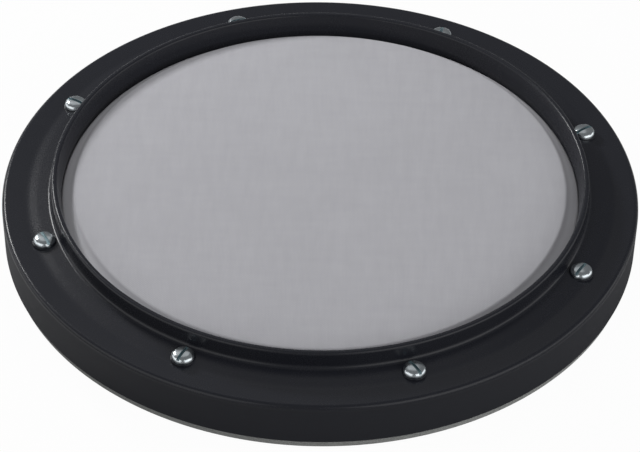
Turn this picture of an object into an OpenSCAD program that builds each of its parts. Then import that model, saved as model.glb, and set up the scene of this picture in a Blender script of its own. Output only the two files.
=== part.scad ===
// Tunable eight inch practice pad for drummers, in millimetres.
// A woven mesh head is stretched over a bearing ring that stands on a moulded tray. Its hoop is pushed
// down by a deep moulded rim, which eight slotted screws pull towards threaded inserts in the tray.
// Z = 0 is the table, the Z axis is the middle of the head, and the player sits on the -Y side.
// Radii grow outwards from the bearing ring and heights grow upwards from the table.

/* [Head] */
// Outside diameter of the bearing ring, which is the nominal size of the head
head_d = 203.2; // [180:0.1:230]
// Thickness of the woven mesh
mesh_t = 0.6; // [0.4:0.1:0.8]
// Width of the sloped collar between the bearing ring and the hoop
collar_w = 4.6; // [4.4:0.1:6]
// Clearance between the mesh and the hard parts that it passes
mesh_gap = 0.3; // [0.2:0.05:0.4]
// Height of the mesh's upright tail above the hoop when the rim is backed out
tail_rise = 2.5; // [0.5:0.1:2.8]

/* [Head hoop] */
// Height of the channel section hoop
hoop_h = 7; // [6.6:0.1:7.8]
// Wall of the hoop's channel
hoop_wall = 1.2; // [1:0.1:1.4]
// Width of the slot inside the channel
hoop_slot_w = 3.7; // [3.5:0.1:4]
// Width of the lock ring that holds the mesh in the slot
lock_ring_w = 1; // [0.8:0.1:1.1]
// Height of the lock ring
lock_ring_h = 4; // [3:0.1:4.4]

/* [Base tray] */
// Thickness of the tray's floor
floor_t = 3; // [2.4:0.1:3.4]
// Height of the bearing ring above the floor
ring_h = 18.4; // [17:0.1:21]
// Thickness of the bearing ring, whose top is fully rounded
ring_t = 3; // [2.6:0.1:3.2]
// Height of the low wall around the tray
tray_wall_h = 8; // [6:0.5:9]
// Thickness of the low wall around the tray
tray_wall_t = 2; // [1.6:0.1:2.4]
// Thickness of the ribs on the tray
tray_rib_t = 2; // [1.6:0.1:2.6]
// Number of radial ribs under the foam
tray_rib_count = 12; // [8:1:16]
// Diameter of the ring wall that ties the radial ribs together
tray_tie_d = 112; // [90:1:130]
// Diameter of the bosses that hold the inserts
boss_d = 12; // [10:0.5:13]
// Clearance between the tray and the rim's skirt
tray_gap = 0.6; // [0.4:0.1:1]

/* [Non slip pad] */
// Thickness of the soft pad under the tray
pad_t = 3.1; // [2:0.1:4]
// How far the pad stays inside the foot of the skirt
pad_inset = 1.2; // [0:0.1:1.8]
// Diameter of the hole in the pad, which clears the stand insert
pad_hole_d = 28; // [22:1:40]

/* [Damper foam] */
// Thickness of the foam disc under the mesh
foam_t = 8; // [6:0.5:9]
// Gap between the foam and the mesh
foam_gap = 0.6; // [0.4:0.1:0.9]
// Clearance between the foam and the bearing ring
foam_side_gap = 0.6; // [0.3:0.1:0.9]

/* [Tension rim] */
// Height of the skirt, from its foot to the flat top of its outer edge
skirt_h = 18.8; // [18:0.1:21]
// Thickness of the skirt
skirt_t = 2.2; // [1.8:0.1:2.6]
// How far the skirt's foot lies inside its top
skirt_draft = 0.3; // [0.2:0.1:2]
// Gap between the skirt's foot and the pad when the head is tuned
foot_gap = 0.4; // [0.4:0.1:0.8]
// Radius of the flange's outer edge
edge_r = 1.8; // [1:0.1:2.2]
// Thickness of the flange at its outer edge
flange_t = 2.5; // [2.2:0.1:3]
// Width of the level outer zone of the flange
flange_flat_w = 10; // [8:0.1:10.4]
// How much the inner zone of the flange rises towards the lip
flange_rise = 1.5; // [1:0.1:2]
// Width of the flange outside the screw circle
flange_land = 14.2; // [13.5:0.1:16]
// Distance from the lip's foot to the screw circle
screw_land = 6.3; // [6.1:0.1:8]
// Clearance between the mesh and the rim's inner wall
rim_gap = 0.5; // [0.4:0.1:0.8]
// Height of the raised lip above the flange
lip_h = 7.5; // [6:0.1:10]
// Width of the lip at its foot
lip_foot_w = 4; // [3.6:0.1:4.6]
// Width of the lip at its top
lip_top_w = 2.4; // [2:0.1:2.6]
// How far the lip's inner wall leans outwards
lip_lean = 1.5; // [1:0.1:1.8]
// Radius of the lip's top edges
lip_r = 0.9; // [0.5:0.1:1]
// Radius of the fillet at the lip's foot
lip_fillet_r = 0.8; // [0.5:0.1:1]
// Depth of the presser wall below the flange's outer edge
presser_drop = 7.3; // [7:0.1:7.6]
// Thickness of the presser wall
presser_t = 3; // [2.4:0.1:3.2]
// How far the presser wall stands out past the hoop
presser_step = 0.6; // [0.3:0.1:0.8]
// Thickness of the ribs under the flange
rim_rib_t = 1.8; // [1.4:0.1:2.4]
// Depth of the ribs under the flange
rim_rib_h = 3; // [2:0.1:4]
// Diameter of the screw guides under the flange
guide_d = 10; // [8:0.5:11]
// Height of the screw guides
guide_h = 1.3; // [1:0.1:1.6]

/* [Tension screws] */
// Angle of the first screw from the +X axis
screw_start = 18.5; // [0:0.5:44.5]
// Diameter of the screws
screw_d = 4.8; // [4:0.1:5]
// Length of the screws under the head
screw_l = 14; // [12:0.5:15]
// Diameter of the screw heads
screw_head_d = 8.9; // [8:0.1:9.6]
// Height of the screw heads
screw_head_h = 3.1; // [2.6:0.1:3.6]
// Height of the straight side of the screw heads
screw_side_h = 0.9; // [0.5:0.1:1.4]
// Width of the screwdriver slots
slot_w = 1.3; // [1:0.1:1.6]
// Depth of the screwdriver slots
slot_depth = 1.5; // [1:0.1:1.8]
// Radial clearance of the screws in the rim
screw_gap = 0.3; // [0.2:0.05:0.5]
// Diameter of the flat seat under each screw head
seat_d = 9.9; // [9.8:0.1:10.4]
// Height of the seats above the level zone of the flange
seat_rise = 0.9; // [0.6:0.05:1.1]

/* [Inserts] */
// Outside diameter of the screw inserts
insert_d = 7; // [6.4:0.1:7.6]
// Length of the screw inserts
insert_l = 9; // [7:0.5:9.5]
// Radial clearance of the screws in their inserts
thread_gap = 0.05; // [0.02:0.01:0.08]
// Clearance of the inserts in their pockets and of the lock ring in the hoop
fit_gap = 0.05; // [0.03:0.01:0.1]
// Diameter of the hole through the stand insert, cut for an 8 mm thread
stand_bore_d = 6.8; // [6:0.1:8]
// Outside diameter of the stand insert
stand_insert_d = 12; // [11:0.5:13]
// Length of the stand insert
stand_insert_l = 10; // [8:0.5:11]
// Diameter of the stand insert's flange
stand_flange_d = 18; // [16:0.5:20]
// Thickness of the stand insert's flange
stand_flange_t = 1.5; // [1:0.1:2]
// Diameter of the hub around the stand insert
hub_d = 24; // [22:0.5:30]

/* [Tuning] */
// How far the rim can still be pulled down from the tuned position
tighten = 0.3; // [0.1:0.05:0.3]
// How far the rim rises when the screws are backed out
loosen = 2.5; // [1.5:0.1:2.6]
// Clearance left between the moving rim and the tray at both ends of the travel
travel_gap = 0.3; // [0.2:0.05:0.4]

/* [Hidden] */
$fn = 128;

screw_count = 8;
// Which way each screwdriver slot points when the head is tuned, from the +X axis
slot_angles = [36, 80, 20, 150, 118, 62, 123, 57];
// Angles of the flange ribs on each side of the middle between two screws
rim_rib_angles = [-9, 9];
arc_steps = 6;
// How far joined solids run into each other, and how far cuts run past a face
eps = 0.01;
over = 1;

// Radii, outwards from the bearing ring
ring_r = head_d / 2;
nose_r = ring_t / 2;
nose_x = ring_r - nose_r;
tail_r = ring_r + collar_w;
rim_in_r = tail_r + mesh_t / 2 + rim_gap;
lip_foot_r = rim_in_r + lip_foot_w;
screw_r = lip_foot_r + screw_land;
rim_r = screw_r + flange_land;
flat_r = rim_r - flange_flat_w;
foot_r = rim_r - skirt_draft;
pad_r = foot_r - pad_inset;
tray_r = foot_r - skirt_t - tray_gap;
foam_r = ring_r - ring_t - foam_side_gap;

// The hoop's outer leg lies under the presser wall, and its slot opens around the mesh's tail
hoop_out_r = rim_in_r + presser_t - presser_step;
slot_out_r = hoop_out_r - hoop_wall;
slot_in_r = slot_out_r - hoop_slot_w;
hoop_in_r = slot_in_r - hoop_wall;
lock_out_r = slot_out_r - fit_gap;
lock_in_r = lock_out_r - lock_ring_w;

// Heights, upwards from the table
floor_z = pad_t + floor_t;
nose_z = floor_z + ring_h - nose_r;
mesh_z = nose_z + nose_r + mesh_gap;
head_z = mesh_z + mesh_t;
foam_z = mesh_z - foam_gap - foam_t;
foot_z = pad_t + foot_gap;
edge_z = foot_z + skirt_h;
under_z = edge_z - flange_t;
shelf_z = edge_z + flange_rise;
lip_z = shelf_z + lip_h;
press_z = edge_z - presser_drop;
hoop_z = press_z - hoop_h;
seat_z = edge_z + seat_rise;
guide_z = under_z - guide_h;
boss_z = guide_z - tighten - travel_gap;
tail_top_z = press_z + loosen + travel_gap + mesh_t / 2 + tail_rise;
tail_low_z = hoop_z + hoop_wall + loosen + travel_gap;

// Points of an arc about (x, z) from angle a to angle b
function arc(x, z, r, a, b) =
    [for (i = [0:arc_steps]) let (t = a + (b - a) * i / arc_steps) [x + r * cos(t), z + r * sin(t)]];

// The mesh leaves the rounded top of the bearing ring along the tangent that ends at the tail
mesh_mid_r = nose_r + mesh_gap + mesh_t / 2;
collar_dx = tail_r - nose_x;
collar_dz = tail_top_z - nose_z;
collar_reach = norm([collar_dx, collar_dz]);
leave_a = atan2(collar_dz, collar_dx) + acos(mesh_mid_r / collar_reach);
// Height at which the collar's face at radius r from the nose meets the vertical line at x
function collar_z(r, x) =
    nose_z + r * sin(leave_a) - (x - nose_x - r * cos(leave_a)) / tan(leave_a);

module at_screw(i) {
    rotate([0, 0, screw_start + (i - 1) * 360 / screw_count])
        translate([screw_r, 0, 0])
            children();
}

module ring(r_out, r_in, z, h) {
    translate([0, 0, z])
        difference() {
            cylinder(r = r_out, h = h);
            translate([0, 0, -eps])
                cylinder(r = r_in, h = h + 2 * eps);
        }
}

// A wall that runs outwards from r_in to r_out at angle a
module radial_wall(a, r_in, r_out, t, z, h) {
    rotate([0, 0, a])
        translate([r_in, -t / 2, z])
            cube([r_out - r_in, t, h]);
}

module non_slip_pad() {
    color("#62635f")
        ring(pad_r, pad_hole_d / 2, 0, pad_t);
}

module bearing_ring() {
    rotate_extrude()
        union() {
            translate([ring_r - ring_t, floor_z - eps])
                square([ring_t, nose_z - floor_z + eps]);
            translate([nose_x, nose_z])
                circle(r = nose_r);
        }
}

module tray_ribs() {
    rib_h = foam_z - floor_z;
    for (i = [0:tray_rib_count - 1])
        radial_wall(
            i * 360 / tray_rib_count, hub_d / 2 - tray_rib_t, ring_r - ring_t / 2, tray_rib_t,
            floor_z - eps, rib_h + eps
        );
    ring(tray_tie_d / 2, tray_tie_d / 2 - tray_rib_t, floor_z - eps, rib_h + eps);
}

module tray_boss(i) {
    at_screw(i)
        translate([0, 0, floor_z - eps])
            cylinder(d = boss_d, h = boss_z - floor_z + eps);
    radial_wall(
        screw_start + (i - 1) * 360 / screw_count, screw_r + boss_d / 4, tray_r - tray_wall_t / 2,
        tray_rib_t, floor_z - eps, tray_wall_h + eps
    );
}

module base_tray() {
    pocket_r = insert_d / 2 + fit_gap;
    color("#1e1f21")
        difference() {
            union() {
                translate([0, 0, pad_t])
                    cylinder(r = tray_r, h = floor_t);
                ring(tray_r, tray_r - tray_wall_t, floor_z - eps, tray_wall_h + eps);
                bearing_ring();
                tray_ribs();
                translate([0, 0, pad_t])
                    cylinder(d = hub_d, h = foam_z - pad_t);
                for (i = [1:screw_count])
                    tray_boss(i);
            }
            for (i = [1:screw_count])
                at_screw(i) {
                    translate([0, 0, boss_z - insert_l])
                        cylinder(r = pocket_r, h = insert_l + over);
                    translate([0, 0, floor_z])
                        cylinder(d = screw_d + 2 * screw_gap, h = boss_z - floor_z);
                }
            translate([0, 0, pad_t - over])
                cylinder(d = stand_insert_d + 2 * fit_gap, h = stand_insert_l + fit_gap + over);
            translate([0, 0, pad_t - over])
                cylinder(d = stand_flange_d + 2 * fit_gap, h = stand_flange_t + fit_gap + over);
        }
}

module stand_insert() {
    color("#b08d4a")
        translate([0, 0, pad_t])
            difference() {
                union() {
                    cylinder(d = stand_insert_d, h = stand_insert_l);
                    cylinder(d = stand_flange_d, h = stand_flange_t);
                }
                translate([0, 0, -over])
                    cylinder(d = stand_bore_d, h = stand_insert_l + 2 * over);
            }
}

module damper_foam() {
    color("#3b3c3f")
        translate([0, 0, foam_z])
            cylinder(r = foam_r, h = foam_t);
}

module mesh_head() {
    r_in = nose_r + mesh_gap;
    r_out = r_in + mesh_t;
    tail_in = tail_r - mesh_t / 2;
    tail_out = tail_r + mesh_t / 2;
    top_side = concat(
        [[0, head_z]],
        arc(nose_x, nose_z, r_out, 90, leave_a),
        [[tail_out, collar_z(r_out, tail_out)], [tail_out, tail_low_z]]
    );
    low_side = concat(
        [[tail_in, tail_low_z], [tail_in, collar_z(r_in, tail_in)]],
        arc(nose_x, nose_z, r_in, leave_a, 90),
        [[0, mesh_z]]
    );
    color("#a4a5aa")
        rotate_extrude()
            polygon(concat(top_side, low_side));
}

module head_hoop() {
    color("#b9bcc0")
        difference() {
            ring(hoop_out_r, hoop_in_r, hoop_z, hoop_h);
            ring(slot_out_r, slot_in_r, hoop_z + hoop_wall, hoop_h);
        }
}

module head_lock_ring() {
    color("#8e9094")
        ring(lock_out_r, lock_in_r, hoop_z + hoop_wall, lock_ring_h);
}

module rim_section() {
    lip_in = rim_in_r + lip_lean;
    lip_out = lip_in + lip_top_w;
    presser_r = rim_in_r + presser_t;
    skirt_in_top = rim_r - skirt_t - skirt_draft * flange_t / skirt_h;
    polygon(concat(
        [[rim_in_r, press_z], [presser_r, press_z], [presser_r, under_z], [skirt_in_top, under_z]],
        [[foot_r - skirt_t, foot_z], [foot_r, foot_z]],
        arc(rim_r - edge_r, edge_z - edge_r, edge_r, 0, 90),
        [[flat_r, edge_z]],
        arc(lip_foot_r + lip_fillet_r, shelf_z + lip_fillet_r, lip_fillet_r, 270, 180),
        arc(lip_out - lip_r, lip_z - lip_r, lip_r, 0, 90),
        arc(lip_in + lip_r, lip_z - lip_r, lip_r, 90, 180),
        [[rim_in_r, shelf_z]]
    ));
}

module rim_ribs() {
    step = 360 / screw_count;
    for (i = [0:screw_count - 1])
        for (a = rim_rib_angles)
            radial_wall(
                screw_start + (i + 0.5) * step + a, rim_in_r + presser_t / 2,
                foot_r - skirt_t / 2, rim_rib_t, under_z - rim_rib_h, rim_rib_h + eps
            );
}

module tension_rim() {
    color("#26272a")
        difference() {
            union() {
                rotate_extrude()
                    rim_section();
                rim_ribs();
                for (i = [1:screw_count])
                    at_screw(i) {
                        translate([0, 0, guide_z])
                            cylinder(d = guide_d, h = guide_h + eps);
                        translate([0, 0, under_z + eps])
                            cylinder(d = seat_d, h = seat_z - under_z - eps);
                    }
            }
            for (i = [1:screw_count])
                at_screw(i) {
                    translate([0, 0, guide_z - over])
                        cylinder(d = screw_d + 2 * screw_gap, h = shelf_z - guide_z + 2 * over);
                    translate([0, 0, seat_z])
                        cylinder(d = seat_d, h = shelf_z - seat_z + over);
                }
        }
}

module tension_screw(i) {
    cap_h = screw_head_h - screw_side_h;
    head_r = screw_head_d / 2;
    dome_r = (head_r * head_r + cap_h * cap_h) / (2 * cap_h);
    color("#c3c9d0")
        at_screw(i) {
            translate([0, 0, seat_z - screw_l])
                cylinder(d = screw_d, h = screw_l + eps);
            difference() {
                translate([0, 0, seat_z])
                    intersection() {
                        cylinder(r = head_r, h = screw_head_h);
                        translate([0, 0, screw_head_h - dome_r])
                            sphere(r = dome_r);
                    }
                rotate([0, 0, slot_angles[i - 1] - screw_start - (i - 1) * 360 / screw_count])
                    translate([-head_r - over, -slot_w / 2, seat_z + screw_head_h - slot_depth])
                        cube([screw_head_d + 2 * over, slot_w, slot_depth + over]);
            }
        }
}

module boss_insert(i) {
    color("#b08d4a")
        at_screw(i)
            translate([0, 0, boss_z - insert_l])
                difference() {
                    cylinder(d = insert_d, h = insert_l);
                    translate([0, 0, -over])
                        cylinder(d = screw_d + 2 * thread_gap, h = insert_l + 2 * over);
                }
}

non_slip_pad();
base_tray();
stand_insert();
damper_foam();
mesh_head();
head_hoop();
head_lock_ring();
tension_rim();
tension_screw(1);  // tension_screw_1
tension_screw(2);  // tension_screw_2
tension_screw(3);  // tension_screw_3
tension_screw(4);  // tension_screw_4
tension_screw(5);  // tension_screw_5
tension_screw(6);  // tension_screw_6
tension_screw(7);  // tension_screw_7
tension_screw(8);  // tension_screw_8
boss_insert(1);  // boss_insert_1
boss_insert(2);  // boss_insert_2
boss_insert(3);  // boss_insert_3
boss_insert(4);  // boss_insert_4
boss_insert(5);  // boss_insert_5
boss_insert(6);  // boss_insert_6
boss_insert(7);  // boss_insert_7
boss_insert(8);  // boss_insert_8
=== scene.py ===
import math

import bmesh
import bpy
from mathutils import Matrix, Vector


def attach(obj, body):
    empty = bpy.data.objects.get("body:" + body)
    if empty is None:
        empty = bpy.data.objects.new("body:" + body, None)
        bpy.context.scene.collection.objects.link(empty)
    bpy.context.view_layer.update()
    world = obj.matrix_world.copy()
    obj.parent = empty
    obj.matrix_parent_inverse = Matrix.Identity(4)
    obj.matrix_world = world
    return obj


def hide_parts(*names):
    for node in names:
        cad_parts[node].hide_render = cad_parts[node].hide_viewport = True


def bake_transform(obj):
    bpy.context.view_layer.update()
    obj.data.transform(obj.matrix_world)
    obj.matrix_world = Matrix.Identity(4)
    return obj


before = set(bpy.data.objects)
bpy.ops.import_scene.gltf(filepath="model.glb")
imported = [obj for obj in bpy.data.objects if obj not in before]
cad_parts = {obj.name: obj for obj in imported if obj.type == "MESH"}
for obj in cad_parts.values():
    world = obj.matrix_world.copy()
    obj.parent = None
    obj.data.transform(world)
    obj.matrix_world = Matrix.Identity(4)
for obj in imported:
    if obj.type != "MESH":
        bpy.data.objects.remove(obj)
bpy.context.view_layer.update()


# ---------------------------------------------------------------- Camera
# A long lens stands well back and looks down on the pad at about 40 degrees, so that the round rim
# reads as a wide oval and the wall of its skirt shows along the front.
mm = 0.001
camera_aim = Vector((0.05, 0.77, 0.90)) * mm
camera_reach = 1264.2 * mm
camera_lift = math.radians(40.31)
camera_roll = math.radians(0.715)

camera_data = bpy.data.cameras.new("studio_camera")
camera_data.lens = 169.69
camera_data.sensor_width = 36
camera_data.clip_start = 0.02
camera_data.clip_end = 60
camera = bpy.data.objects.new("studio_camera", camera_data)
bpy.context.scene.collection.objects.link(camera)
camera_away = Vector((0, -math.cos(camera_lift), math.sin(camera_lift)))
camera.matrix_world = (
    Matrix.Translation(camera_aim + camera_reach * camera_away)
    @ Matrix.Rotation(math.pi / 2 - camera_lift, 4, "X")
    @ Matrix.Rotation(camera_roll, 4, "Z")
)
bpy.context.scene.camera = camera


# ---------------------------------------------------------------- Non-slip pad
# A round sheet of grey cellular rubber, with a hole in the middle, is glued under the tray. Its cut
# edge shows as a thin grey line below the skirt, and its porous underside grips the table.
pad_outer, pad_hole, pad_thick, pad_around = 130.0, 14.0, 3.1, 480
# The pores are painted darker by that share of the grey: painted shade in the pore hollows.
pad_grey, pad_pore_shade = (0.240, 0.245, 0.238, 1), 0.72
bend_hold, bend_share = 0.3, 0.4


def rounded(corners, steps=6):
    """A closed section of (radius, height) points from corners (radius, height, bend radius).

    A point just outside each end of a bend keeps the flats beside it flat to the light.
    """
    spots = [Vector(corner[:2]) for corner in corners]
    arcs = []
    for k, here in enumerate(spots):
        back = (spots[k - 1] - here).normalized()
        ahead = (spots[(k + 1) % len(spots)] - here).normalized()
        half = back.angle(ahead) / 2
        arcs.append((back, ahead, half, corners[k][2] / math.tan(half)))
    points = []
    for k, (back, ahead, half, run) in enumerate(arcs):
        here, bend = spots[k], corners[k][2]
        if not bend:
            points.append(here)
            continue
        before, after = k - 1, (k + 1) % len(spots)
        lead = min(bend_hold, bend_share * ((spots[before] - here).length - arcs[before][3] - run))
        trail = min(bend_hold, bend_share * ((spots[after] - here).length - arcs[after][3] - run))
        middle = here + (back + ahead).normalized() * bend / math.sin(half)
        start, end = here + back * run - middle, here + ahead * run - middle
        points.append(middle + start + back * lead)
        points += [middle + (start.lerp(end, i / steps)).normalized() * bend for i in range(steps + 1)]
        points.append(middle + end + ahead * trail)
    return [(p[0], p[1]) for p in points]


def shown(name, bm, sharp=38):
    """Makes the object of a mesh in metres. Edges sharper than that angle are hard, the rest smooth."""
    bmesh.ops.recalc_face_normals(bm, faces=bm.faces)
    for face in bm.faces:
        face.smooth = True
    for edge in bm.edges:
        edge.smooth = len(edge.link_faces) == 2 and edge.calc_face_angle() < math.radians(sharp)
    mesh = bpy.data.meshes.new(name)
    bm.to_mesh(mesh)
    bm.free()
    piece = bpy.data.objects.new(name, mesh)
    bpy.context.scene.collection.objects.link(piece)
    return piece


def spin(bm, section, count, middle=(0, 0)):
    """Spins a closed section in millimetres about an upright axis, as a moulded or turned ring is."""
    rows = []
    for k in range(count):
        turn = 2 * math.pi * k / count
        row = []
        for r, z in section:
            x, y = middle[0] + r * math.cos(turn), middle[1] + r * math.sin(turn)
            row.append(bm.verts.new((x * mm, y * mm, z * mm)))
        rows.append(row)
    made = [v for row in rows for v in row]
    for k in range(count):
        near, far = rows[k], rows[(k + 1) % count]
        for j in range(len(section)):
            if section[j - 1][0] > 0 or section[j][0] > 0:
                bm.faces.new((near[j - 1], far[j - 1], far[j], near[j]))
    bmesh.ops.remove_doubles(bm, verts=made, dist=1e-8)


class Strand:
    """One socket of a material. Sums and products add Math nodes, and node() adds any other kind."""

    def __init__(self, tree, socket=None):
        self.tree, self.socket = tree, socket

    def node(self, kind, settings=None, sockets=None, out=0):
        made = self.tree.nodes.new(kind)
        for name, value in (settings or {}).items():
            setattr(made, name, value)
        for name, value in (sockets or {}).items():
            if isinstance(value, Strand):
                self.tree.links.new(value.socket, made.inputs[name])
            else:
                made.inputs[name].default_value = value
        return Strand(self.tree, made.outputs[out] if len(made.outputs) else None)

    def maths(self, operation, *values):
        return self.node("ShaderNodeMath", {"operation": operation}, dict(enumerate(values)))

    def __add__(self, other):
        return self.maths("ADD", self, other)

    __radd__ = __add__

    def __sub__(self, other):
        return self.maths("SUBTRACT", self, other)

    def __rsub__(self, other):
        return self.maths("SUBTRACT", other, self)

    def __mul__(self, other):
        return self.maths("MULTIPLY", self, other)

    __rmul__ = __mul__

    def between(self, low, high):
        """0 below low, 1 above high, and a soft step from one to the other."""
        settings = {"interpolation_type": "SMOOTHSTEP"}
        return self.node("ShaderNodeMapRange", settings, {"Value": self, "From Min": low, "From Max": high})

    def blend(self, none, full):
        """A colour that goes from none to full as this value goes from 0 to 1."""
        return self.node("ShaderNodeMix", {"data_type": "RGBA"}, {0: self, 6: none, 7: full}, out=2)

    def scaled(self, x, y, z):
        """This place with its axes stretched by x, y and z."""
        return self.node("ShaderNodeVectorMath", {"operation": "MULTIPLY"}, {0: self, 1: (x, y, z)})

    def clouds(self, size, detail=2.0, rough=0.5):
        """Soft random clouds of about that size in millimetres, from 0 to 1."""
        sockets = {"Vector": self, "Scale": 1 / (size * mm), "Detail": detail, "Roughness": rough}
        return self.node("ShaderNodeTexNoise", {}, sockets)

    def raised(self, height):
        """A bumped normal, where this value of 0 to 1 stands for that height in millimetres."""
        return self.node("ShaderNodeBump", {}, {"Height": self, "Distance": height * mm, "Strength": 1.0})

    def part(self, axis):
        """This place's distance along that axis."""
        return self.node("ShaderNodeSeparateXYZ", {}, {"Vector": self}, out=axis)

    def from_axis(self):
        """This place's distance from the upright axis."""
        flat = self.scaled(1, 1, 0)
        return self.node("ShaderNodeVectorMath", {"operation": "LENGTH"}, {0: flat}, out="Value")


def finish(name, make):
    """A new material. make gets each point's place in metres, and gives the shader's sockets."""
    material = bpy.data.materials.new(name)
    material.use_nodes = True
    material.node_tree.nodes.clear()
    start = Strand(material.node_tree)
    place = start.node("ShaderNodeTexCoord", out="Object")
    shader = start.node("ShaderNodeBsdfPrincipled", {}, make(place))
    start.node("ShaderNodeOutputMaterial", {}, {"Surface": shader})
    return material


def cellular_rubber(place):
    cells = place.node("ShaderNodeTexVoronoi", {}, {"Vector": place, "Scale": 1 / (0.55 * mm)})
    cloud = place.clouds(9, 3)
    pores = cells.between(0.1, 0.75)
    tone = (cloud - 0.5) * 0.35 + pores * 0.25 + 0.42
    # Each pore is painted darker towards its middle: painted shade in the pore hollows.
    pore_shade = (pad_grey[0] * pad_pore_shade, pad_grey[1] * pad_pore_shade, pad_grey[2] * pad_pore_shade, 1)
    return {
        "Base Color": tone.blend(pore_shade, pad_grey),
        "Roughness": 0.82 - 0.1 * pores,
        "Normal": (pores + cloud * 0.4).raised(0.12),
        "Specular IOR Level": 0.3,
    }


pad_mesh = bmesh.new()
spin(pad_mesh, rounded([
    (pad_hole, 0, 0.5), (pad_outer, 0, 0.45), (pad_outer, pad_thick, 0.3), (pad_hole, pad_thick, 0.3),
]), pad_around)
pad = shown("grip_pad", pad_mesh)
pad.data.materials.append(finish("grip_rubber", cellular_rubber))
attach(pad, "base")
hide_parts("non_slip_pad")


# ---------------------------------------------------------------- Base tray
# One black moulding carries everything: a flat floor with a low wall, the bearing ring for the head,
# ribs under the foam and eight bosses. It hides inside the rim, and the pad is glued under it.
tray_black, tray_pale = (0.014, 0.0145, 0.016, 1), (0.021, 0.0215, 0.0235, 1)


def moulded_tray(place):
    grain = place.clouds(0.35, 2)
    flow = place.clouds(24, 3)
    return {
        "Base Color": flow.blend(tray_black, tray_pale),
        "Roughness": 0.52 + 0.12 * flow + 0.05 * grain,
        "Normal": grain.raised(0.025),
        "Specular IOR Level": 0.4,
    }


def dress(node, material):
    """Gives its real finish to a CAD solid that has no mesh of its own here."""
    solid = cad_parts[node]
    solid.data.materials.clear()
    solid.data.materials.append(material)
    for face in solid.data.polygons:
        face.material_index = 0


dress("base_tray", finish("tray_plastic", moulded_tray))


# ---------------------------------------------------------------- Stand insert
# A flanged brass bush with an 8 mm thread is pressed into the middle of the tray, so that the pad can
# be screwed onto a stand. The lathe leaves fine rings on its flange and a chamfer at the thread.
bush_foot, bush_length, bush_outer = 3.1, 10.0, 6.0
bush_flange, bush_flange_thick = 9.0, 1.5
bush_bore, bush_pitch, bush_thread_depth, bush_chamfer = 3.4, 1.25, 0.42, 0.6
thread_around = 48
brass, brass_dull = (0.66, 0.47, 0.22, 1), (0.50, 0.34, 0.15, 1)
lathe_feed = 0.16


def turned_brass(place):
    turned = (place.from_axis() + place.part("Z")) * (2 * math.pi / (lathe_feed * mm))
    cut = turned.maths("SINE", turned)
    dull = place.clouds(3, 3)
    return {
        "Base Color": dull.blend(brass, brass_dull),
        "Metallic": 1.0,
        "Roughness": 0.24 + 0.22 * dull,
        "Normal": (cut * 0.5 + 0.5).raised(0.006),
    }


def join_rings(bm, rings):
    """Fills the bands between rings of thread_around points each."""
    for near, far in zip(rings, rings[1:]):
        for k in range(thread_around):
            ahead = (k + 1) % thread_around
            bm.faces.new((near[k], near[ahead], far[ahead], far[k]))


def threaded_bore(bm, radius, depth, pitch, low, high, chamfer, inward=True):
    """The wall of a threaded hole, or of a shank where inward is False, as rings that follow the helix."""
    rows = []
    levels = int((high - low) / pitch * 10)
    for level in range(levels + 1):
        z = low + (high - low) * level / levels
        fade = min(1, (z - low) / chamfer, (high - z) / chamfer)
        row = []
        for k in range(thread_around):
            turn = z / pitch - k / thread_around
            crest = 1 - abs(2 * (turn - math.floor(turn)) - 1)
            r = radius + (depth * (1 - crest) if inward else -depth * crest) * max(fade, 0)
            angle = 2 * math.pi * k / thread_around
            row.append(bm.verts.new((r * math.cos(angle) * mm, r * math.sin(angle) * mm, z * mm)))
        rows.append(row)
    join_rings(bm, rows)
    return rows[0], rows[-1]


bush_mesh = bmesh.new()
low_ring, high_ring = threaded_bore(
    bush_mesh, bush_bore, bush_thread_depth, bush_pitch, bush_foot + 0.5, bush_foot + bush_length - 0.5, 0.8,
)
outside = rounded([
    (bush_bore + bush_chamfer, bush_foot, 0), (bush_flange, bush_foot, 0.2),
    (bush_flange, bush_foot + bush_flange_thick, 0.2), (bush_outer, bush_foot + bush_flange_thick, 0),
    (bush_outer, bush_foot + bush_length, 0.3), (bush_bore + bush_chamfer, bush_foot + bush_length, 0),
])
bush_rings = []
for r, z in outside:
    ring = []
    for k in range(thread_around):
        angle = math.tau * k / thread_around
        ring.append(bush_mesh.verts.new((r * math.cos(angle) * mm, r * math.sin(angle) * mm, z * mm)))
    bush_rings.append(ring)
join_rings(bush_mesh, [low_ring] + bush_rings + [high_ring])
bush = shown("stand_bush", bush_mesh, 30)
brass_finish = finish("insert_brass", turned_brass)
bush.data.materials.append(brass_finish)
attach(bush, "base")
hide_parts("stand_insert")


# ---------------------------------------------------------------- Damper foam
# A disc of dark open-celled foam lies on the tray's ribs under the head and takes the ring out of it.
# Its edges are soft, and its top is slack by a fraction of a millimetre.
foam_outer, foam_foot, foam_top = 98.0, 16.2, 24.2
foam_rings, foam_around, foam_slack = 6, 240, 0.12
foam_dark, foam_pale = (0.022, 0.022, 0.025, 1), (0.055, 0.056, 0.061, 1)


def open_celled_foam(place):
    sockets = {"Vector": place, "Scale": 1 / (0.9 * mm)}
    cells = place.node("ShaderNodeTexVoronoi", {"feature": "SMOOTH_F1"}, sockets)
    cloud = place.clouds(14, 3)
    return {
        "Base Color": (cells * 0.7 + cloud * 0.3).blend(foam_dark, foam_pale),
        "Roughness": 0.93,
        "Normal": cells.raised(0.35),
        "Specular IOR Level": 0.2,
    }


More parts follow.
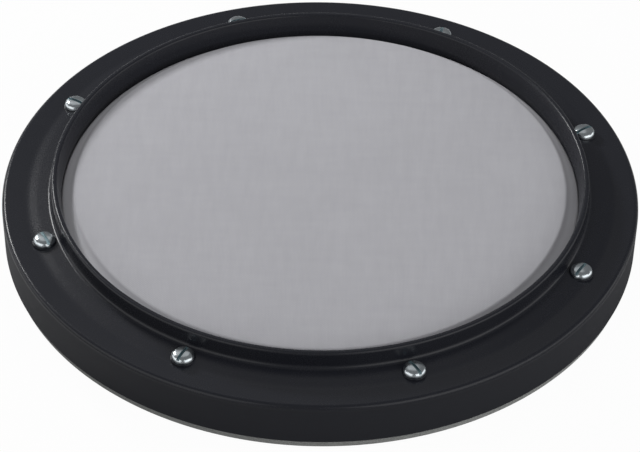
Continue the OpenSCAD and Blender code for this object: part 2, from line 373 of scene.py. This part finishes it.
foam_mesh = bmesh.new()
foam_section = rounded([(foam_outer, foam_foot, 1.2), (foam_outer, foam_top, 1.6)] + [
    (foam_outer * k / foam_rings, foam_top, 0) for k in reversed(range(foam_rings))
] + [(foam_outer * k / foam_rings, foam_foot, 0) for k in range(foam_rings)])
spin(foam_mesh, foam_section, foam_around)
for v in foam_mesh.verts:
    slack = math.sin(v.co.x * 61 + 0.7) * math.cos(v.co.y * 53)
    if v.co.z > (foam_foot + 1) * mm:
        v.co.z += (slack - 1) * foam_slack * mm
foam = shown("damper_disc", foam_mesh)
foam.data.materials.append(finish("damper_foam", open_celled_foam))
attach(foam, "base")
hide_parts("damper_foam")


# ---------------------------------------------------------------- Mesh head
# One sheet of woven grey polyester is stretched over the bearing ring like the head of a drum. Past
# the ring it drops steeply as a collar, and its edge runs down into the slot of the hoop.
head_top, cloth_thick = 25.4, 0.4
nose_middle, nose_height = 100.75, 22.9
tail_middle, tail_foot, tail_head = 106.72, 12.0, 20.6
crown_start, crown_fall = 84.0, 0.36
flat_steps, crown_steps, nose_steps, drop_steps, tail_steps = 12, 8, 8, 6, 5
cloth_around, thread_pitch = 480, 0.55
mesh_dark, mesh_pale = (0.252, 0.251, 0.267, 1), (0.333, 0.331, 0.351, 1)
# A lighter grey for the collar past the bearing ring: painted light on the steep collar, which the lip keeps
# in shade.
mesh_collar_painted_light = (0.400, 0.398, 0.420, 1)


def cloth_side(reach):
    """A face of the cloth, from the middle of the head to the tail's end: 1 is the outer, 0 the inner."""
    lift = head_top - crown_fall - nose_height
    side = [(crown_start * k / flat_steps, head_top) for k in range(flat_steps)]
    for k in range(crown_steps + 1):
        step = k / crown_steps
        side.append((crown_start + (nose_middle - crown_start) * step, head_top - crown_fall * step ** 2))
    drop = cloth_thick * (reach < 1)
    side = [(r, z - drop) for r, z in side]
    bend = lift - drop
    tail = tail_middle + (reach - 0.5) * cloth_thick
    dx, dz = tail - nose_middle, tail_head - nose_height
    leave = math.atan2(dz, dx) + math.acos(min(1, bend / math.hypot(dx, dz)))
    for k in range(1, nose_steps + 1):
        turn = math.pi / 2 + (leave - math.pi / 2) * k / nose_steps
        side.append((nose_middle + bend * math.cos(turn), nose_height + bend * math.sin(turn)))
    r, z = side[-1]
    for k in range(1, drop_steps + 1):
        side.append((r + (tail - r) * k / drop_steps, z + (tail_head - z) * k / drop_steps))
    for k in range(1, tail_steps + 1):
        side.append((tail, tail_head + (tail_foot - tail_head) * k / tail_steps))
    return side


def woven_mesh(place):
    warp = place.part("X") * (math.pi / (thread_pitch * mm))
    weft = place.part("Y") * (math.pi / (thread_pitch * mm))
    warp_wave, weft_wave = warp.maths("SINE", warp), weft.maths("SINE", weft)
    over = warp_wave * weft_wave
    threads = (warp_wave.maths("ABSOLUTE", warp_wave) + weft_wave.maths("ABSOLUTE", weft_wave)) * 0.5
    weave = threads * 0.6 + over * 0.2 + 0.2
    streaks = place.scaled(1, 0.16, 1).clouds(3.2, 3, 0.6)
    bars = place.scaled(0.2, 1, 1).clouds(4.2, 2, 0.6)
    cloud = place.clouds(46, 2)
    # Past the bearing ring the cloth is painted a lighter grey: painted light on the shaded collar.
    collar_painted_light = place.from_axis().between(101.8 * mm, 104.0 * mm)
    tone = (streaks - 0.5) * 0.5 + (bars - 0.5) * 0.3 + (cloud - 0.5) * 0.3 + (weave - 0.5) * 0.5 + 0.5
    return {
        "Base Color": collar_painted_light.blend(tone.blend(mesh_dark, mesh_pale), mesh_collar_painted_light),
        "Roughness": 0.78 - 0.1 * weave,
        "Normal": weave.raised(0.05),
        "Specular IOR Level": 0.25,
    }


head_mesh = bmesh.new()
spin(head_mesh, cloth_side(1) + cloth_side(0)[::-1], cloth_around)
head = shown("mesh_cloth", head_mesh, 60)
head.data.materials.append(finish("mesh_weave", woven_mesh))
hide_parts("mesh_head")
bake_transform(head)


# ---------------------------------------------------------------- Head hoop and lock ring
# The cloth's edge is clamped in the slot of a rolled aluminium channel by a spring steel ring. The rim
# presses on the channel from above, so both stay out of sight.
hoop_bright, hoop_dull, hoop_rough = (0.70, 0.71, 0.72, 1), (0.50, 0.51, 0.53, 1), 0.26
lock_bright, lock_dull, lock_rough = (0.55, 0.56, 0.58, 1), (0.36, 0.37, 0.39, 1), 0.30


def rolled_metal(bright, dull, rough):
    """A finish drawn along the ring, with that much roughness at the least."""
    def make(place):
        reach, height = place.from_axis(), place.part("Z")
        ring_place = place.node("ShaderNodeCombineXYZ", {}, {"X": reach, "Y": height, "Z": 0.0})
        drawn = ring_place.clouds(0.22, 3, 0.7)
        cloud = place.clouds(18, 3)
        return {
            "Base Color": (drawn * 0.5 + cloud * 0.5).blend(dull, bright),
            "Metallic": 1.0,
            "Roughness": rough + 0.16 * drawn,
            "Normal": drawn.raised(0.01),
        }
    return make


dress("head_hoop", finish("hoop_aluminium", rolled_metal(hoop_bright, hoop_dull, hoop_rough)))
dress("head_lock_ring", finish("lock_ring_steel", rolled_metal(lock_bright, lock_dull, lock_rough)))


# ---------------------------------------------------------------- Tension rim
# The deep black rim is one nylon moulding with a fine satin grain: a raised lip round the head, a
# flange that slopes out to a level edge zone, and a skirt that hides the tray. Ribs stiffen it below.
rim_inner, rim_corner, skirt_foot_outer, skirt_thick = 107.0, 131.53, 131.2, 2.2
press_foot, press_thick, skirt_foot, flange_low, flange_top = 15.0, 3.0, 3.5, 19.8, 22.3
level_zone, shelf_top, lip_foot, lip_outer, lip_inner, lip_top = 121.0, 23.8, 111.0, 110.9, 108.5, 31.3
shoulder, shoulder_top, rim_around = 117.0, 23.0, 720
screw_count, screw_circle, screw_first, screw_step = 8, 117.3, 18.5, 45.0
seat_height, seat_radius, hole_radius, guide_radius, guide_foot = 23.2, 4.95, 2.7, 5.0, 18.5
seat_around, guide_around = 64, 48
rib_half, rib_depth, rib_start, rib_turns = 0.9, 3.0, 108.5, (13.5, 31.5)
rim_black, rim_pale = (0.0093, 0.0100, 0.0134, 1), (0.0120, 0.0128, 0.0166, 1)

rim_mesh = bmesh.new()
spin(rim_mesh, rounded([
    (rim_inner, press_foot, 0.4), (rim_inner + press_thick, press_foot, 0.4),
    (rim_inner + press_thick, flange_low, 0.6), (rim_corner - skirt_thick, flange_low, 0.6),
    (skirt_foot_outer - skirt_thick, skirt_foot, 0.3), (skirt_foot_outer, skirt_foot, 0.35),
    (rim_corner, flange_top, 1.8), (level_zone, flange_top, 14.0), (shoulder, shoulder_top, 40.0),
    (lip_foot, shelf_top, 1.7), (lip_outer, lip_top, 1.12), (lip_inner, lip_top, 1.12),
    (rim_inner, shelf_top, 2.0),
]), rim_around)
rim_body = shown("tension_rim_body", rim_mesh)

cutter_mesh = bmesh.new()
for k in range(screw_count):
    turn = math.radians(screw_first + screw_step * k)
    spin(cutter_mesh, [
        (0, guide_foot - 3), (hole_radius, guide_foot - 3), (hole_radius, seat_height - 0.4),
        (seat_radius - 0.2, seat_height - 0.4), (seat_radius, seat_height - 0.2),
        (seat_radius + 0.05, seat_height + 1.2), (0, seat_height + 1.2),
    ], seat_around, (screw_circle * math.cos(turn), screw_circle * math.sin(turn)))
cutter = shown("screw_seats", cutter_mesh)


def cut_away(piece, tool):
    """Cuts the tool's shape out of a piece for good."""
    cut = piece.modifiers.new("cut", "BOOLEAN")
    cut.operation, cut.solver, cut.object = "DIFFERENCE", "EXACT", tool
    bpy.context.view_layer.update()
    carved = bpy.data.meshes.new_from_object(piece.evaluated_get(bpy.context.evaluated_depsgraph_get()))
    piece.modifiers.clear()
    before, piece.data = piece.data, carved
    bpy.data.meshes.remove(before)
    bpy.data.objects.remove(tool)


cut_away(rim_body, cutter)

underside = bmesh.new()
underside.from_mesh(rim_body.data)
for k in range(screw_count):
    turn = math.radians(screw_first + screw_step * k)
    spin(underside, [
        (hole_radius, guide_foot + 0.2), (hole_radius + 0.2, guide_foot), (guide_radius - 0.3, guide_foot),
        (guide_radius, guide_foot + 0.3), (guide_radius, flange_low + 0.3), (hole_radius, flange_low + 0.3),
    ], guide_around, (screw_circle * math.cos(turn), screw_circle * math.sin(turn)))
    spin(underside, rounded([
        (hole_radius, flange_low + 1, 0), (seat_radius, flange_low + 1, 0), (seat_radius, seat_height, 0.25),
        (hole_radius, seat_height, 0),
    ], 3), seat_around, (screw_circle * math.cos(turn), screw_circle * math.sin(turn)))
    for extra in rib_turns:
        rib = bmesh.ops.create_cube(underside, size=1)["verts"]
        length = skirt_foot_outer - skirt_thick / 2 - rib_start
        shape = (
            Matrix.Rotation(math.radians(screw_first + screw_step * k + extra), 4, "Z")
            @ Matrix.Translation(Vector((rib_start + length / 2, 0, flange_low - rib_depth / 2)) * mm)
            @ Matrix.Diagonal((length * mm, 2 * rib_half * mm, rib_depth * mm, 1))
        )
        bmesh.ops.transform(underside, matrix=shape, verts=rib)
rim = shown("tension_rim_moulding", underside, 32)
bpy.data.objects.remove(rim_body)


def satin_nylon(place):
    height = place.part("Z")
    grain = place.clouds(0.45, 2, 0.6)
    flow = place.scaled(1, 1, 0.35).clouds(16, 3, 0.55)
    rubs = place.scaled(1, 1, 2.5).clouds(2.6, 4, 0.65).between(0.60, 0.72)
    moulded_wall = 1 - height.between(19.2 * mm, 20.8 * mm)
    lip_edge = height.between(30.6 * mm, 31.3 * mm)
    rim_edge = height.between(21.2 * mm, 22.0 * mm) * (1 - height.between(22.3 * mm, 22.5 * mm))
    wear = (lip_edge + rim_edge) * rubs
    return {
        "Base Color": (flow * 0.5 + wear * 0.5).blend(rim_black, rim_pale),
        "Roughness": 0.23 + 0.04 * flow + 0.04 * grain + 0.30 * moulded_wall,
        "Normal": grain.raised(0.0015),
        "Specular IOR Level": 0.30,
    }


rim.data.materials.append(finish("rim_plastic", satin_nylon))
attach(rim, "rim")
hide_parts("tension_rim")


# ---------------------------------------------------------------- Boss inserts
# Eight brass inserts take the tension screws. They are pressed into the tray's bosses out of sight.
for k in range(screw_count):
    dress(f"boss_insert_{k + 1}", brass_finish)


# ---------------------------------------------------------------- Tension screws
# Eight number 10 machine screws with slotted, domed heads pull the rim down. They are turned steel
# with a bright zinc plating that looks faintly blue, and each slot points where tuning left it.
screw_head_radius, screw_side, screw_shank, screw_length = 4.65, 0.4, 2.4, 14.0
dome_bend, shoulder_bend, shoulder_start = 16.0, 2.05, 3.0
slot_half, slot_deep, slot_length = 0.65, 1.25, 12
face_rings, face_around, edge_bevel = 24, 96, 0.09
screw_pitch, screw_thread_depth = 0.79375, 0.36
slot_turns = [36, 80, 20, 150, 118, 62, 123, 57]
zinc, zinc_dull = (0.73, 0.775, 0.80, 1), (0.55, 0.60, 0.63, 1)
# The slot's colours are darker than the plating: partly painted shade in the slot's recess, partly worn
# plating and grime.
slot_shade, slot_grime_and_shade = (0.42, 0.53, 0.56, 1), (0.26, 0.35, 0.38, 1)


def plated_zinc(place):
    dull = place.clouds(1.6, 3, 0.6)
    haze = place.clouds(0.35, 2)
    return {
        "Base Color": dull.blend(zinc, zinc_dull),
        "Metallic": 1.0,
        "Roughness": 0.13 + 0.12 * dull + 0.04 * haze,
        "Normal": haze.raised(0.004),
    }


# Painted shade in the slot, together with worn plating and grime.
def worn_and_shaded_slot(place):
    grime = place.clouds(0.5, 3, 0.6)
    return {
        "Base Color": grime.blend(slot_shade, slot_grime_and_shade),
        "Metallic": 1.0,
        "Roughness": 0.42 + 0.2 * grime,
        "Normal": grime.raised(0.02),
    }


def face_height(reach):
    """A screw's height at that distance from its axis: a shallow dome, then a round shoulder."""
    along = max(0, reach - screw_head_radius + shoulder_bend)
    shoulder = math.sqrt(max(0, shoulder_bend ** 2 - along ** 2))
    dome = (shoulder_start ** 2 - min(reach, shoulder_start) ** 2) / (2 * dome_bend)
    return seat_height + screw_side + shoulder + dome


def slot_face(face, turn):
    """True for a face of the slot, which lies below the dome and within half a slot of its middle line."""
    middle = face.calc_center_median() / mm
    across = middle.x * math.sin(turn) - middle.y * math.cos(turn)
    return abs(across) < slot_half + 0.02 and middle.z < face_height(math.hypot(middle.x, middle.y)) - 0.12


zinc_finish = finish("screw_zinc", plated_zinc)
slot_finish = finish("screw_slot", worn_and_shaded_slot)
for k in range(screw_count):
    turn = math.radians(screw_first + screw_step * k)
    head_cut = bmesh.new()
    reaches = [screw_head_radius * math.sin(math.pi / 2 * j / face_rings) for j in range(face_rings + 1)]
    spin(head_cut, [(reach, face_height(reach)) for reach in reaches] + [
        (screw_head_radius, seat_height + 0.2), (screw_head_radius - 0.2, seat_height), (0, seat_height),
    ], face_around)
    screw = shown(f"zinc_screw_{k + 1}", head_cut, 34)
    slot_cut = bmesh.new()
    bmesh.ops.create_cube(slot_cut, size=1)
    slot_shape = (
        Matrix.Translation(Vector((0, 0, face_height(0) - slot_deep / 2 + 0.5)) * mm)
        @ Matrix.Rotation(math.radians(slot_turns[k]), 4, "Z")
        @ Matrix.Diagonal((slot_length * mm, 2 * slot_half * mm, (slot_deep + 1) * mm, 1))
    )
    bmesh.ops.transform(slot_cut, matrix=slot_shape, verts=slot_cut.verts)
    cut_away(screw, shown("slot_tool", slot_cut))
    shank = bmesh.new()
    shank.from_mesh(screw.data)
    for face in shank.faces:
        face.material_index = int(slot_face(face, math.radians(slot_turns[k])))
    end_ring, _ = threaded_bore(
        shank, screw_shank, screw_thread_depth, screw_pitch,
        seat_height - screw_length, seat_height - 0.05, 0.7, False,
    )
    shank.faces.new(end_ring[::-1])
    spot = Vector((math.cos(turn), math.sin(turn), 0)) * screw_circle * mm
    bmesh.ops.translate(shank, verts=shank.verts, vec=spot)
    bpy.data.objects.remove(screw)
    screw = shown(f"zinc_screw_{k + 1}", shank, 34)
    bevel = screw.modifiers.new("broken edges", "BEVEL")
    bevel.width, bevel.segments = edge_bevel * mm, 2
    bevel.limit_method, bevel.angle_limit = "ANGLE", math.radians(45)
    screw.data.materials.append(zinc_finish)
    screw.data.materials.append(slot_finish)
    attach(screw, f"screw_{k + 1}")
    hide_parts(f"tension_screw_{k + 1}")


# ---------------------------------------------------------------- Studio
# The pad stands on a plain white sweep. A low key light behind it to the left throws the lip's shadow
# onto the head, a panel overhead and one to the front right fill, and wide panels all round shine
# in the black plastic and the screws. The sweep is almost pure white to the camera.
floor_half, floor_drop = 6, 0.0002
floor_white, floor_grey = 0.97, 0.40
air_tint, air_strength = (0.97, 0.985, 1.0, 1), 0.18
floor_mesh = bmesh.new()
bmesh.ops.create_grid(floor_mesh, x_segments=1, y_segments=1, size=floor_half)
bmesh.ops.translate(floor_mesh, verts=floor_mesh.verts, vec=(0, 0, -floor_drop))
floor = shown("studio_floor", floor_mesh)

floor_material = bpy.data.materials.new("white_sweep")
floor_material.use_nodes = True
floor_material.node_tree.nodes.clear()
sweep = Strand(floor_material.node_tree)
seen = sweep.node("ShaderNodeLightPath", out="Is Camera Ray")
paper = sweep.node("ShaderNodeBsdfDiffuse", {}, {"Color": (floor_grey, floor_grey, floor_grey, 1)})
white = sweep.node("ShaderNodeEmission", {}, {"Color": (1, 1, 1, 1), "Strength": 1.0})
sweep.node("ShaderNodeOutputMaterial", {}, {
    "Surface": sweep.node("ShaderNodeMixShader", {}, {0: seen * floor_white, 1: paper, 2: white}),
})
floor.data.materials.append(floor_material)

world = bpy.data.worlds.new("studio_air")
bpy.context.scene.world = world
world.use_nodes = True
world.node_tree.nodes.clear()
air = Strand(world.node_tree)
air.node("ShaderNodeOutputWorld", {}, {
    "Surface": air.node("ShaderNodeBackground", {}, {"Color": air_tint, "Strength": air_strength}),
})


def soft_panel(name, place, width, height, watts):
    """A light panel that faces the pad."""
    light = bpy.data.lights.new(name, "AREA")
    light.shape, light.size, light.size_y, light.energy = "RECTANGLE", width, height, watts
    panel = bpy.data.objects.new(name, light)
    bpy.context.scene.collection.objects.link(panel)
    panel.location = place
    panel.rotation_euler = (-Vector(place)).to_track_quat("-Z", "Y").to_euler()
    return panel


for name, place, size, watts in [
    ("panel_key", (-0.533, 0.603, 0.416), 0.12, 8.1),
    ("panel_overhead", (0.02, 0.08, 1.15), 0.9, 4.9),
    ("panel_fill", (1.22, -1.00, 0.50), 0.8, 8.0),
]:
    soft_panel(name, place, size, size, watts).visible_glossy = False
soft_panel("panel_edge", (-1.12, 1.27, 1.07), 0.42, 0.42, 13.0).visible_diffuse = False
for name, place, width, height, watts in [
    ("panel_back", (-0.15, 1.16, 1.62), 1.1, 0.9, 1.0),
    ("panel_back_left", (-0.95, 1.30, 1.20), 1.0, 0.75, 0.36),
    ("panel_front_right", (0.96, -1.07, 0.70), 1.6, 1.2, 8.1),
    ("panel_right", (1.55, 0.05, 0.39), 1.4, 0.7, 3.7),
    ("panel_front_left", (-1.07, -0.96, 0.70), 1.6, 1.2, 6.2),
    ("panel_left", (-1.54, 0.22, 0.39), 1.4, 0.7, 3.1),
]:
    soft_panel(name, place, width, height, watts)

bpy.context.scene.view_settings.view_transform = "Standard"
